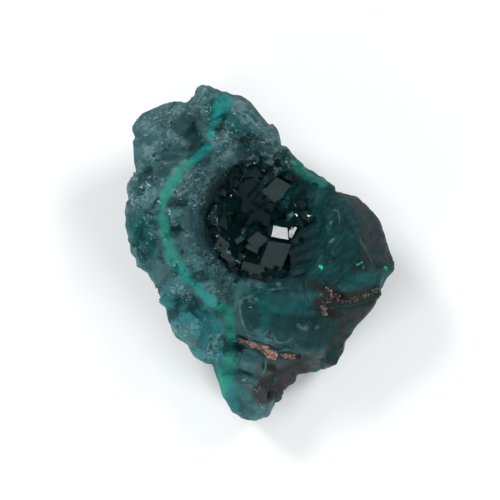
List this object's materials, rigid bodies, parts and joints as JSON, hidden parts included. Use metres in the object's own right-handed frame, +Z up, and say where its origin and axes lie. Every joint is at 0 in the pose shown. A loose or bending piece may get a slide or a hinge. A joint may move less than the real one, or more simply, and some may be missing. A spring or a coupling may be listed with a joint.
{
  "type": "dioptase specimen",
  "caption": "Mineral hand specimen: massive deep green dioptase on brown host rock, round a hollow lined with flat-faced crystals, resting on a flat broken base.",
  "frame": {"origin": "under the middle of the bounding box, in the flat that the specimen rests on", "axes": "+Z up from that flat, +Y along the specimen's long way, up its open face as it is usually shown, +X to the right of the open face"},
  "size_m": [0.0492, 0.0594, 0.0289],
  "materials": {
    "massive_dioptase": "sugary, glossy broken faces, teal green with a brighter green seam",
    "clear_dioptase": "vitreous, clear deep emerald green crystals",
    "host_rock": "dull brown broken rock with coarse pinkish grains"
  },
  "bodies": {
    "root": {"dioptase_mass": "massive_dioptase", "vug_crystals": "clear_dioptase", "host_rock": "host_rock"}
  },
  "joints": []
}
